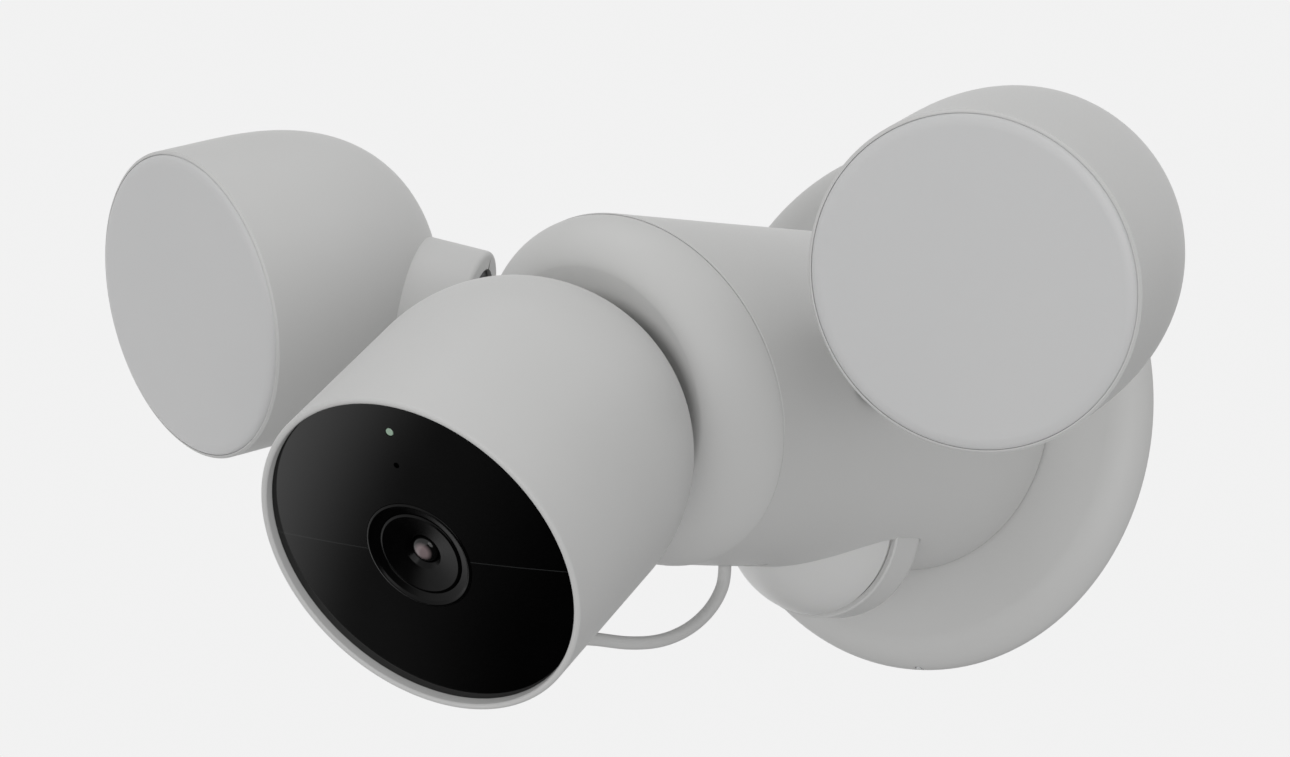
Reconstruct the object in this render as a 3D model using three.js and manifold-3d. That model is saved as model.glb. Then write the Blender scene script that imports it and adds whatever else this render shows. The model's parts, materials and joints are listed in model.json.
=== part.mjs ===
// A wall-mounted floodlight camera. A round wall plate carries a barrel that points forward. The barrel's
// sloping front is a dished cap, where a magnet holds the round back of the camera head. A lamp hangs on a
// ball arm on each side of the barrel, and a motion sensor bulges out below it.
// Millimetres, +Z up, +Y into the wall. The origin is the centre of the wall bracket's back face.
import * as THREE from "three";
import { mergeVertices } from "three/addons/utils/BufferGeometryUtils.js";
import Module from "manifold-3d";

const wasm = await Module();
wasm.setup();

// Clearances and facets
const GAP = 0.3;
const FINE = 36;
const MEDIUM = 20;
const SMALL = 12;
const DEGREE = Math.PI / 180;

// Wall plate
const PLATE_RADIUS = 66.3;
const PLATE_BACK = 1.5; // the plate's rear edge stands on a gasket this far from the wall
const PLATE_DEPTH = 8.5;
const PLATE_EDGE_WIDTH = 9;
const PLATE_WALL = 2.5;
const PLATE_HOLE = 28;
const RETAINING_SCREW_Y = -3.3;

// Barrel and its oblique front seam
const BARREL_RADIUS = 41.2;
const BARREL_FRONT_RADIUS = 40.3;
const BARREL_WALL = 2.6;
const BARREL_START = PLATE_DEPTH + GAP;
const SEAM_DEPTH = 123.9;
const SEAM_TILT = 21.3 * DEGREE;

// Front cap: a broad round rim and a ball dish
const CAP_HEIGHT = 14;
const CAP_INSET = 12.5;
const CAP_ROUNDNESS = 1.55; // exponent of the rim's curve, 2 for an ellipse
const BALL_REACH = 48.5; // from the seam plane to the centre of the ball seat
const BALL_LIFT = 2.3; // of that centre above the cap's axis

// Camera head, about the centre of its round back
const HEAD_RADIUS = 40.35;
const HEAD_RIM_RADIUS = 40.7; // the shell widens a little towards its front edge
const HEAD_FRONT = 42.4; // from the ball centre to the shell's front edge
const HEAD_NOSE = 0.8; // radius of that edge's rounding
const HEAD_WALL = 2.4;
const HEAD_DOWN = 33.35 * DEGREE;
const HEAD_ROLL = 7.5 * DEGREE;
const HEAD_YAW = 1.22 * DEGREE;
const GLASS_RADIUS = 38.9;
const GLASS_EDGE = 40.2; // from the ball centre to the edge of the glass
const GLASS_CROWN = 1.7; // the glass bulges by this much in the middle
const LENS_RING_RADIUS = 13.4;
const PAD_THICKNESS = 2.3;
const DISH_RADIUS = HEAD_RADIUS + PAD_THICKNESS + 2 * GAP;

// Lamps. Each hangs on the ball at the end of an arm
const LAMP_RADIUS = 38;
const LAMP_STRAIGHT = 14.6;
const LAMP_DOME = 49;
const LAMP_ROUNDNESS = 2.6; // exponent of the dome's curve, 2 for an ellipse
const LAMP_WALL = 2.4;
const LAMP_RIM = 0.8; // the housing's thin edge round the cover
const COVER_EDGE = 3; // how far the cover's edge is rounded over
const BALL_CENTRE = new THREE.Vector3(69.57, -102.46, 18.88);
const BALL_IN_LAMP = new THREE.Vector3(29.99, 55.85, -17.09); // from the middle of the lamp's face
const NECK_IN_LAMP = new THREE.Vector3(0.682, 0.602, -0.415).normalize();
const NECK_RADIUS = 17.8;
const NECK_BORE = 13.5;
const NECK_END = 4;
const ARM_BALL_RADIUS = 11;
const ARM_DIRECTION = new THREE.Vector3(0.84, 0.485, -0.245).normalize();
const ARM_FLARE = 25; // from the ball centre to where the arm starts to widen
const LAMP_AIM = {
  left: { yaw: -17.8 * DEGREE, down: 14.1 * DEGREE, roll: -1.44 * DEGREE },
  right: { yaw: 12.4 * DEGREE, down: 15.9 * DEGREE, roll: -1.44 * DEGREE },
};

// Motion sensor
const SENSOR_CENTRE = new THREE.Vector3(0, -49.4, -29.2);
const SENSOR_LENS_RADIUS = 23.2;
const SENSOR_LENS_DEPTH = 24.3;
const SENSOR_LENS_ROUNDNESS = 1.65; // exponent of the lens's curve, 2 for an ellipse
const SENSOR_COLLAR_RADIUS = 23.9;
const SENSOR_WALL = 1.5;
const SENSOR_COLLAR_DEPTH = 13.6;
const SENSOR_COLLAR_CORNER = 5;
const SENSOR_TOP = -18; // the sensor's shells are open above this height

// Camera cable
const CABLE_RADIUS = 1.55;
const CABLE_EXIT_Y = -88;
const GROMMET_LENGTH = 4.6;
const CABLE_START_Z = -37.7; // just inside the barrel's wall, under the grommet
const PORT_IN_HEAD = new THREE.Vector3(0, -5, -HEAD_RADIUS);
const PORT_DIRECTION = new THREE.Vector3(0, 0.34, -0.94).normalize();
const PLUG_PROUD = 3;

const UP_Y = new THREE.Vector3(0, 1, 0);

const MATERIALS = {
  shell: material(0xd6d6d4, 0.55, 0),
  frosted: material(0xdcdcda, 0.45, 0),
  glass: material(0x0b0c0d, 0.08, 0),
  dark: material(0x1b1c1e, 0.6, 0),
  steel: material(0xa9abad, 0.35, 1),
  aluminium: material(0xc4c6c8, 0.4, 1),
  magnet: material(0x8d8f92, 0.3, 1),
  rubber: material(0x3a3b3d, 0.85, 0),
  board: material(0x1f5a3a, 0.5, 0),
  copper: material(0xd8a24a, 0.5, 0),
  white: material(0xf4f4f0, 0.5, 0),
  green: material(0x9fe0a8, 0.3, 0),
};

function material(color, roughness, metalness) {
  return new THREE.MeshStandardMaterial({ color, roughness, metalness });
}

// ---- geometry helpers ----

// A closed geometry as a manifold-3d solid.
function solid(geometry) {
  const bare = geometry.clone();
  bare.deleteAttribute("normal");
  bare.deleteAttribute("uv");
  const merged = mergeVertices(bare, 1e-4);
  const corners = merged.index.array;
  const kept = [];
  for (let i = 0; i < corners.length; i += 3) {
    const [a, b, c] = corners.slice(i, i + 3);
    if (a !== b && b !== c && c !== a) kept.push(a, b, c);
  }
  return new wasm.Manifold(
    new wasm.Mesh({
      numProp: 3,
      vertProperties: merged.attributes.position.array,
      triVerts: new Uint32Array(kept),
    }),
  );
}

// A manifold-3d solid as a geometry.
function geometryOf(made) {
  const { numProp, vertProperties, triVerts } = made.getMesh();
  const count = vertProperties.length / numProp;
  const positions = new Float32Array(count * 3);
  for (let i = 0; i < count; i++) {
    positions.set(vertProperties.subarray(i * numProp, i * numProp + 3), i * 3);
  }
  const geometry = new THREE.BufferGeometry();
  geometry.setAttribute("position", new THREE.BufferAttribute(positions, 3));
  geometry.setIndex(new THREE.BufferAttribute(triVerts, 1));
  geometry.computeVertexNormals();
  return geometry;
}

function cut(base, ...tools) {
  return geometryOf(tools.reduce((left, tool) => left.subtract(solid(tool)), solid(base)));
}

function join(...pieces) {
  return geometryOf(pieces.slice(1).reduce((all, piece) => all.add(solid(piece)), solid(pieces[0])));
}

// A body of revolution about Y from [radius, y] points. A profile off the axis closes on itself.
function revolved(profile, segments = FINE) {
  const openLoop = profile[0][0] === 0 && profile.at(-1)[0] === 0;
  const points = profile.map(([radius, y]) => new THREE.Vector2(radius, y));
  if (THREE.ShapeUtils.area(points) < 0) points.reverse();
  if (!openLoop) points.push(points[0].clone());
  return new THREE.LatheGeometry(points, segments);
}

// Profile points along an arc or an ellipse's arc, from one angle to another in degrees.
function arc(centreR, centreY, radiusR, radiusY, from, to, steps) {
  return Array.from({ length: steps + 1 }, (_, i) => {
    const angle = (from + ((to - from) * i) / steps) * DEGREE;
    return [centreR + radiusR * Math.cos(angle), centreY + radiusY * Math.sin(angle)];
  });
}

// A quarter of a superellipse from [width, 0] to [0, height].
function superArc(width, height, exponent, steps) {
  return Array.from({ length: steps + 1 }, (_, i) => {
    const angle = (i / steps) * (Math.PI / 2);
    const across = i === steps ? 0 : Math.cos(angle) ** (2 / exponent);
    return [width * across, height * Math.sin(angle) ** (2 / exponent)];
  });
}

// The profile with its first and last points moved onto the axis.
function closedOnAxis(profile) {
  const last = profile.length - 1;
  return profile.map(([radius, y], i) => [i === 0 || i === last ? 0 : radius, y]);
}

function disc(radius, yFrom, yTo, segments = MEDIUM) {
  return revolved([[0, yFrom], [radius, yFrom], [radius, yTo], [0, yTo]], segments);
}

function ring(inner, outer, yFrom, yTo, segments = MEDIUM) {
  return revolved([[inner, yFrom], [outer, yFrom], [outer, yTo], [inner, yTo]], segments);
}

function ball(radius, segments = FINE) {
  return revolved(closedOnAxis(arc(0, 0, radius, radius, -90, 90, segments / 2)), segments);
}

function block(width, depth, height) {
  return new THREE.BoxGeometry(width, depth, height);
}

// A copy of the geometry with its Y axis along `direction` and its origin at `at`.
function along(geometry, at, direction = UP_Y) {
  const turn = new THREE.Quaternion().setFromUnitVectors(UP_Y, direction.clone().normalize());
  return geometry.clone().applyQuaternion(turn).translate(at.x, at.y, at.z);
}

function point(x, y, z) {
  return new THREE.Vector3(x, y, z);
}

function addMesh(group, name, geometry, look, at = point(0, 0, 0)) {
  const mesh = new THREE.Mesh(geometry, look);
  mesh.name = name;
  mesh.position.copy(at);
  group.add(mesh);
  return mesh;
}

function nested(parent, at, down = 0, roll = 0, yaw = 0) {
  const group = new THREE.Group();
  group.position.copy(at);
  group.rotation.set(down, roll, yaw, "ZXY");
  parent.add(group);
  group.updateMatrixWorld(true);
  return group;
}

const assembly = new THREE.Group();
const capFrame = nested(assembly, point(0, -SEAM_DEPTH, -0.4), SEAM_TILT);
const ballSeat = capFrame.localToWorld(point(0, -BALL_REACH, BALL_LIFT));
const seatFrame = nested(assembly, ballSeat, SEAM_TILT);
const headFrame = nested(assembly, ballSeat, HEAD_DOWN, HEAD_ROLL, HEAD_YAW);

buildWallPlate();
buildBarrel();
buildCap();
buildPowerParts();
buildSensor();
buildCameraHead();
buildCable();
for (const side of ["left", "right"]) buildLamp(side);

// ---- wall plate ----

function buildWallPlate() {
  const bracketRadius = 52;
  const sheet = 1.6;
  const lip = 5;
  const pan = revolved([
    [0, 0],
    [bracketRadius, 0],
    [bracketRadius, -lip],
    [bracketRadius - sheet, -lip],
    [bracketRadius - sheet, -sheet],
    [0, -sheet],
  ]);
  const wireHole = along(disc(13, -4, 4), point(0, 0, -27));
  const slots = [-1, 1].map((side) => along(block(5, 8, 16), point(44.5 * side, 0, 0)));
  addMesh(assembly, "wall_bracket", cut(pan, wireHole, ...slots), MATERIALS.steel);

  addMesh(assembly, "wall_gasket", ring(61, 65, GAP - PLATE_BACK, 0, FINE), MATERIALS.rubber);

  const edgeCentre = PLATE_RADIUS - PLATE_EDGE_WIDTH;
  const edgeHeight = PLATE_DEPTH - PLATE_BACK;
  const shell = revolved([
    ...arc(edgeCentre, -PLATE_BACK, PLATE_EDGE_WIDTH, edgeHeight, 0, -90, 5),
    [PLATE_HOLE, -PLATE_DEPTH],
    [PLATE_HOLE, -PLATE_DEPTH + PLATE_WALL],
    ...arc(edgeCentre, -PLATE_BACK, PLATE_EDGE_WIDTH - PLATE_WALL, edgeHeight - PLATE_WALL, -90, 0, 3),
  ]);
  const screwHoles = barrelScrewPlaces().map((at) => along(disc(1.9, -20, 0, SMALL), at));
  const retainingHole = along(disc(1.2, 55, 70, SMALL), point(0, RETAINING_SCREW_Y, 0), point(0, 0, -1));
  addMesh(assembly, "base_plate", cut(shell, ...screwHoles, retainingHole), MATERIALS.shell);

  const screw = disc(0.9, 52.4, PLATE_RADIUS - 0.4, SMALL);
  const retainingScrew = along(screw, point(0, RETAINING_SCREW_Y, 0), point(0, 0, -1));
  addMesh(assembly, "retaining_screw", retainingScrew, MATERIALS.steel);
}

function barrelScrewPlaces() {
  return [90, 210, 330].map((angle) =>
    point(33.5 * Math.cos(angle * DEGREE), 0, 33.5 * Math.sin(angle * DEGREE)),
  );
}

// ---- barrel ----

// The radius of the barrel's outside at a distance from the wall.
function barrelRadiusAt(depth) {
  const share = (depth - BARREL_START) / (SEAM_DEPTH - BARREL_START);
  return BARREL_RADIUS + (BARREL_FRONT_RADIUS - BARREL_RADIUS) * share;
}

function armHole(side) {
  const at = mirrored(BALL_CENTRE, side);
  return along(disc(7.4, 0, 60, SMALL), at, mirrored(ARM_DIRECTION, side, -1));
}

function buildBarrel() {
  const longEnd = SEAM_DEPTH + 25;
  const tube = revolved([
    [BARREL_RADIUS, -BARREL_START],
    [barrelRadiusAt(longEnd), -longEnd],
    [barrelRadiusAt(longEnd) - BARREL_WALL, -longEnd],
    [BARREL_RADIUS - BARREL_WALL, -BARREL_START - 3],
    [PLATE_HOLE, -BARREL_START - 3],
    [PLATE_HOLE, -BARREL_START],
  ]);
  const beyondSeam = block(120, 60, 140).translate(0, -30 + 0.2, 0);
  beyondSeam.applyMatrix4(capFrame.matrixWorld);
  const sensorHole = along(revolved([...sensorLensProfile(0.6, 6), [0, 4]]), SENSOR_CENTRE);
  const collarHole = along(revolved([[0, -GAP], ...collarOutline(GAP)]), SENSOR_CENTRE);
  const down = point(0, 0, -1);
  const cableHole = along(disc(1.95, 30, 50, SMALL), point(0, CABLE_EXIT_Y, 0), down);
  const serviceHole = along(disc(3, 30, 50, SMALL), point(0, -80.5, 0), point(0.09, 0, -1));
  const screwHoles = barrelScrewPlaces().map((at) => along(disc(1.9, -20, 0, SMALL), at));
  const shell = cut(
    tube,
    beyondSeam,
    sensorHole,
    collarHole,
    cableHole,
    serviceHole,
    armHole("left"),
    armHole("right"),
    ...screwHoles,
  );
  addMesh(assembly, "barrel_shell", shell, MATERIALS.shell);

  const underHead = -PLATE_DEPTH + PLATE_WALL + GAP;
  const tip = -BARREL_START - 4;
  const screw = revolved(
    [[0, tip], [1.5, tip], [1.5, underHead], [3, underHead], [3, underHead + 1.8], [0, underHead + 1.8]],
    SMALL,
  );
  barrelScrewPlaces().forEach((at, i) => {
    addMesh(assembly, `barrel_screw_${i + 1}`, screw, MATERIALS.steel, at);
  });
}

// ---- front cap, in the frame of the seam plane ----

function buildCap() {
  const slope = 1 / Math.cos(SEAM_TILT); // the oblique cut stretches the round section upward
  const lean = Math.tan(SEAM_TILT); // the cap runs on along the barrel before it turns in
  const oblique = new THREE.Matrix4().set(1, 0, 0, 0, 0, 1, 0, 0, 0, -lean, slope, 0, 0, 0, 0, 1);
  const rim = (inset, steps) =>
    superArc(CAP_INSET - inset, CAP_HEIGHT - inset, CAP_ROUNDNESS, steps)
      .map(([width, height]) => [BARREL_FRONT_RADIUS - CAP_INSET + width, -0.2 - height]);
  const outer = revolved([[0, -0.2], ...rim(0, 6), [0, -0.2 - CAP_HEIGHT]]).applyMatrix4(oblique);
  const hollow = revolved([
    [0, 1],
    [BARREL_FRONT_RADIUS - BARREL_WALL, 1],
    ...rim(BARREL_WALL, 4),
    [0, -0.2 - CAP_HEIGHT + BARREL_WALL],
  ]).applyMatrix4(oblique);
  const seat = point(0, -BALL_REACH, BALL_LIFT);
  const dishWall = 3;
  const hollowBehindDish = cut(hollow, along(ball(DISH_RADIUS + dishWall), seat));
  const cap = cut(outer, hollowBehindDish, along(ball(DISH_RADIUS), seat));
  addMesh(capFrame, "front_cap", cap, MATERIALS.shell);

  addMesh(capFrame, "seat_magnet", disc(13, -1.6, 2.4), MATERIALS.magnet);
  const bulkhead = disc(BARREL_FRONT_RADIUS - BARREL_WALL - 1.5, 2.7, 4.7, FINE).applyMatrix4(oblique);
  addMesh(capFrame, "front_bulkhead", bulkhead, MATERIALS.dark);

  const padAngle = 20;
  const padOuter = HEAD_RADIUS + GAP + PAD_THICKNESS;
  const pad = revolved(closedOnAxis([
    ...arc(0, 0, HEAD_RADIUS + GAP, HEAD_RADIUS + GAP, 90, 90 - padAngle, 3),
    ...arc(0, 0, padOuter, padOuter, 90 - padAngle, 90, 3),
  ]));
  addMesh(seatFrame, "glide_pad", pad, MATERIALS.dark);
}

// ---- mains and drive electronics inside the barrel ----

function buildPowerParts() {
  addMesh(assembly, "power_board", block(56, 62, 1.6), MATERIALS.board, point(0, -75, -1));
  addMesh(assembly, "transformer", block(22, 20, 18), MATERIALS.copper, point(0, -91, 9.3));
  addMesh(assembly, "bulk_capacitor", disc(6, -11, 11, SMALL), MATERIALS.dark, point(-14, -61, 6.3));
  addMesh(assembly, "lamp_driver", block(16, 20, 10), MATERIALS.aluminium, point(12, -61, 5.3));
  addMesh(assembly, "terminal_block", block(30, 14, 14), MATERIALS.white, point(0, -28, 14));
  const grommet = disc(4, 0, GROMMET_LENGTH, SMALL);
  const bottom = point(0, CABLE_EXIT_Y, CABLE_START_Z + GAP);
  addMesh(assembly, "cable_grommet", along(grommet, bottom, point(0, 0, 1)), MATERIALS.rubber);
}

// ---- motion sensor ----

// The collar's outside from its open front to the middle of its back, grown by a clearance.
function collarOutline(extra) {
  const flat = SENSOR_COLLAR_RADIUS - SENSOR_COLLAR_CORNER;
  const round = SENSOR_COLLAR_CORNER + extra;
  return [
    [SENSOR_COLLAR_RADIUS + extra, -extra],
    ...arc(flat, SENSOR_COLLAR_DEPTH - SENSOR_COLLAR_CORNER, round, round, 0, 90, 4),
    [0, SENSOR_COLLAR_DEPTH + extra],
  ];
}

// The lens's front, from its tip to its widest ring, grown by a clearance.
function sensorLensProfile(extra, steps) {
  return superArc(SENSOR_LENS_RADIUS + extra, SENSOR_LENS_DEPTH + extra, SENSOR_LENS_ROUNDNESS, steps)
    .map(([radius, height]) => [radius, -GAP - height])
    .reverse();
}

function buildSensor() {
  const above = block(60, 120, 60).translate(0, 0, SENSOR_TOP + 30 - SENSOR_CENTRE.z);
  const inner = SENSOR_COLLAR_RADIUS - SENSOR_WALL;
  const collar = revolved([
    ...collarOutline(0),
    [0, SENSOR_COLLAR_DEPTH - SENSOR_WALL],
    [inner - SENSOR_COLLAR_CORNER, SENSOR_COLLAR_DEPTH - SENSOR_WALL],
    [inner, SENSOR_COLLAR_DEPTH - SENSOR_COLLAR_CORNER],
    [inner, 0],
  ]);
  addMesh(assembly, "sensor_collar", cut(collar, above), MATERIALS.shell, SENSOR_CENTRE);

  const tail = inner - GAP; // the lens's skirt reaches into the collar
  const lens = revolved([
    ...sensorLensProfile(0, 7),
    [tail, -GAP],
    [tail, 4],
    [tail - SENSOR_WALL, 4],
    ...sensorLensProfile(-SENSOR_WALL, 5).reverse(),
  ]);
  addMesh(assembly, "sensor_lens", cut(lens, above), MATERIALS.frosted, SENSOR_CENTRE);

  addMesh(assembly, "sensor_board", block(20, 1.2, 12), MATERIALS.board, point(0, -42, -31));
  addMesh(assembly, "sensor_element", disc(4.6, -4, 0, SMALL), MATERIALS.steel, point(0, -43, -31));
}

// ---- camera head, about the ball centre with its face towards -Y ----

function buildCameraHead() {
  const inner = HEAD_RADIUS - HEAD_WALL;
  const noseR = HEAD_RIM_RADIUS - HEAD_NOSE;
  const noseY = -HEAD_FRONT + HEAD_NOSE;
  const shellProfile = closedOnAxis([
    ...arc(0, 0, inner, inner, 90, 0, 6),
    [GLASS_RADIUS + GAP, -GLASS_EDGE + 2.2],
    [GLASS_RADIUS + GAP, -GLASS_EDGE],
    ...arc(noseR, noseY, HEAD_NOSE, HEAD_NOSE, 210, 360, 4),
    ...arc(0, 0, HEAD_RADIUS, HEAD_RADIUS, 0, 90, 8),
  ]);
  const portHole = along(disc(3, -12, 6, SMALL), PORT_IN_HEAD, PORT_DIRECTION);
  const buttonHole = along(disc(3.3, -6, 6, SMALL), buttonPlace(), buttonPlace());
  const soundHoles = [-6, -3, 0, 3, 6].map((x) =>
    along(disc(0.9, -6, 6, 8), point(x, -26.5, -HEAD_RADIUS), point(0, 0, -1)),
  );
  const shell = cut(revolved(shellProfile), portHole, buttonHole, ...soundHoles);
  addMesh(headFrame, "head_shell", shell, MATERIALS.shell);

  buildFace();
  buildCameraOptics();

  addMesh(headFrame, "main_board", disc(33, -16.5, -15), MATERIALS.board);
  addMesh(headFrame, "battery_pack", block(44, 24, 30), MATERIALS.dark, point(0, -1.5, 3));
  const speaker = along(disc(8, 0, 5.4, SMALL), point(0, -26, -32), point(0, 0, -1));
  addMesh(headFrame, "speaker_unit", speaker, MATERIALS.dark);

  const plateOuter = inner - 0.5;
  const plateInner = plateOuter - 2;
  const plateAngle = 32;
  const rearPlate = revolved(closedOnAxis([
    ...arc(0, 0, plateInner, plateInner, 90, 90 - plateAngle, 3),
    ...arc(0, 0, plateOuter, plateOuter, 90 - plateAngle, 90, 3),
  ]), MEDIUM);
  addMesh(headFrame, "rear_plate", rearPlate, MATERIALS.steel);

  const button = revolved([[0, -2], [4.2, -2], [4.2, -1], [3, -1], [3, 2.6], [0, 2.6]], SMALL);
  const buttonAt = buttonPlace().setLength(inner - 1.2);
  addMesh(headFrame, "reset_button", along(button, buttonAt, buttonPlace()), MATERIALS.rubber);

  const plug = disc(2.6, -7, PLUG_PROUD, SMALL);
  addMesh(headFrame, "cable_plug", along(plug, PORT_IN_HEAD, PORT_DIRECTION), MATERIALS.shell);
  const socket = block(9, 6, 7).translate(0, -3 - 7 - GAP, 0);
  addMesh(headFrame, "cable_socket", along(socket, PORT_IN_HEAD, PORT_DIRECTION), MATERIALS.dark);
}

function buttonPlace() {
  const angle = 60 * DEGREE; // below the head's back axis
  return point(0, Math.cos(angle), -Math.sin(angle)).multiplyScalar(HEAD_RADIUS);
}

// How far forward the glass stands at a distance from its middle.
function glassY(radius) {
  return -GLASS_EDGE - GLASS_CROWN * (1 - (radius / GLASS_RADIUS) ** 2);
}

// The black glass bulges a little and carries a light and a microphone hole above the lens.
function buildFace() {
  const back = -GLASS_EDGE + 2.2;
  const inner = LENS_RING_RADIUS + GAP;
  const steps = 4;
  const front = Array.from({ length: steps + 1 }, (_, i) => {
    const radius = inner + ((GLASS_RADIUS - inner) * i) / steps;
    return [radius, glassY(radius)];
  });
  const lightUp = 31.4;
  const soundUp = 23.2;
  const statusHole = along(disc(1.2, -45, -30, 8), point(0, 0, lightUp));
  const soundHole = along(disc(0.7, -45, -30, 8), point(0, 0, soundUp));
  const glass = cut(revolved([...front, [GLASS_RADIUS, back], [inner, back]]), statusHole, soundHole);
  addMesh(headFrame, "front_glass", glass, MATERIALS.glass);
  addMesh(headFrame, "front_chassis", ring(34, 37.6, back + GAP, back + 2.8, FINE), MATERIALS.dark);
  const light = disc(0.9, glassY(lightUp) + 0.1, -34, 8);
  addMesh(headFrame, "status_light", light, MATERIALS.green, point(0, 0, lightUp));
  addMesh(headFrame, "microphone", block(4, 1.4, 3), MATERIALS.steel, point(0, back + 1, soundUp));
  for (const [side, x] of [["left", -25], ["right", 25]]) {
    const led = disc(2.6, back + GAP, -33, SMALL);
    addMesh(headFrame, `infrared_led_${side}`, led, MATERIALS.dark, point(x, 0, 0));
  }
}

// The lens sits in a shallow black dish in the middle of the glass.
function buildCameraOptics() {
  const front = glassY(LENS_RING_RADIUS);
  const dishRadius = 10.3;
  const lensRing = revolved([
    [LENS_RING_RADIUS, front + 5],
    [LENS_RING_RADIUS, front - 0.1],
    [LENS_RING_RADIUS - 0.6, front - 0.3],
    [LENS_RING_RADIUS - 1.2, front + 0.2],
    [dishRadius + GAP, front + 0.7],
    [dishRadius + GAP, front + 5],
  ], FINE);
  addMesh(headFrame, "lens_ring", lensRing, MATERIALS.dark);
  const dish = revolved([
    [dishRadius, front + 5],
    [dishRadius, front + 0.6],
    [dishRadius - 0.6, front + 0.4],
    [4.6, front + 1.6],
    [3.5, front + 2.6],
    [3.5, front + 6],
    [6, front + 6],
    [6, front + 5],
  ], MEDIUM);
  addMesh(headFrame, "lens_funnel", dish, MATERIALS.glass);
  const lens = revolved([
    [0, front + 1.2],
    [2, front + 1.6],
    [3.2, front + 2.8],
    [3.2, front + 12],
    [0, front + 12],
  ], SMALL);
  addMesh(headFrame, "camera_lens", lens, MATERIALS.glass);
  addMesh(headFrame, "lens_barrel", ring(3.5, 6.5, front + 6.5, front + 17), MATERIALS.dark);
  addMesh(headFrame, "image_sensor_board", block(20, 1.2, 20), MATERIALS.board, point(0, front + 18.2, 0));
}

// ---- cable from the barrel's underside to the camera head ----

function buildCable() {
  const start = point(0, CABLE_EXIT_Y, CABLE_START_Z);
  const plugFace = PORT_IN_HEAD.clone().addScaledVector(PORT_DIRECTION, PLUG_PROUD + GAP);
  const beforePlug = PORT_IN_HEAD.clone().addScaledVector(PORT_DIRECTION, PLUG_PROUD + GAP + 4);
  const route = new THREE.CatmullRomCurve3([
    start,
    point(0, CABLE_EXIT_Y, -42),
    point(0, -88.9, -45.4),
    point(0, -92.6, -49.8),
    point(0, -98.8, -53.8),
    point(0, -106.6, -56.7),
    point(-0.3, -115, -58.3),
    point(-1.5, -124, -58.6),
    point(-3.3, -133, -57.8),
    headFrame.localToWorld(beforePlug),
    headFrame.localToWorld(plugFace),
  ]);
  const section = new THREE.Shape().absarc(0, 0, CABLE_RADIUS, 0, 2 * Math.PI);
  const tube = new THREE.ExtrudeGeometry(section, { extrudePath: route, steps: 18, curveSegments: 8 });
  addMesh(assembly, "camera_cable", tube, MATERIALS.white);
}

// ---- lamps ----

// The left side's vector, or its mirror image for the right side; `sense` turns an X direction round.
function mirrored(vector, side, sense = 1) {
  const sign = (side === "left" ? -1 : 1) * sense;
  return point(vector.x * sign, vector.y, vector.z);
}

function buildArm(side) {
  const at = mirrored(BALL_CENTRE, side);
  const inward = mirrored(ARM_DIRECTION, side, -1);
  const round = arc(0, 0, ARM_BALL_RADIUS, ARM_BALL_RADIUS, -90, 53, 8);
  const stud = revolved(closedOnAxis([...round, [6.5, 15.2], [6.5, 15.2]]), MEDIUM);
  const wireBore = disc(2.5, -20, 30, SMALL);
  addMesh(assembly, `${side}_ball_stud`, along(cut(stud, wireBore), at, inward), MATERIALS.shell);

  const sleeve = revolved([
    [2.5, 15.5],
    [8.6, 15.5],
    [9.4, 16.3],
    [9.4, ARM_FLARE],
    ...arc(15.4, ARM_FLARE, 6, 9, 180, 110, 5),
    [13.4, ARM_FLARE + 20],
    [2.5, ARM_FLARE + 20],
  ], MEDIUM);
  const beyondWall = disc(BARREL_RADIUS + GAP, -140, 0, FINE);
  const spigot = ring(2.5, 7, ARM_FLARE + 2, ARM_FLARE + 17, SMALL);
  const arm = join(cut(along(sleeve, at, inward), beyondWall), along(spigot, at, inward));
  addMesh(assembly, `${side}_arm`, arm, MATERIALS.shell);
}

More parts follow.
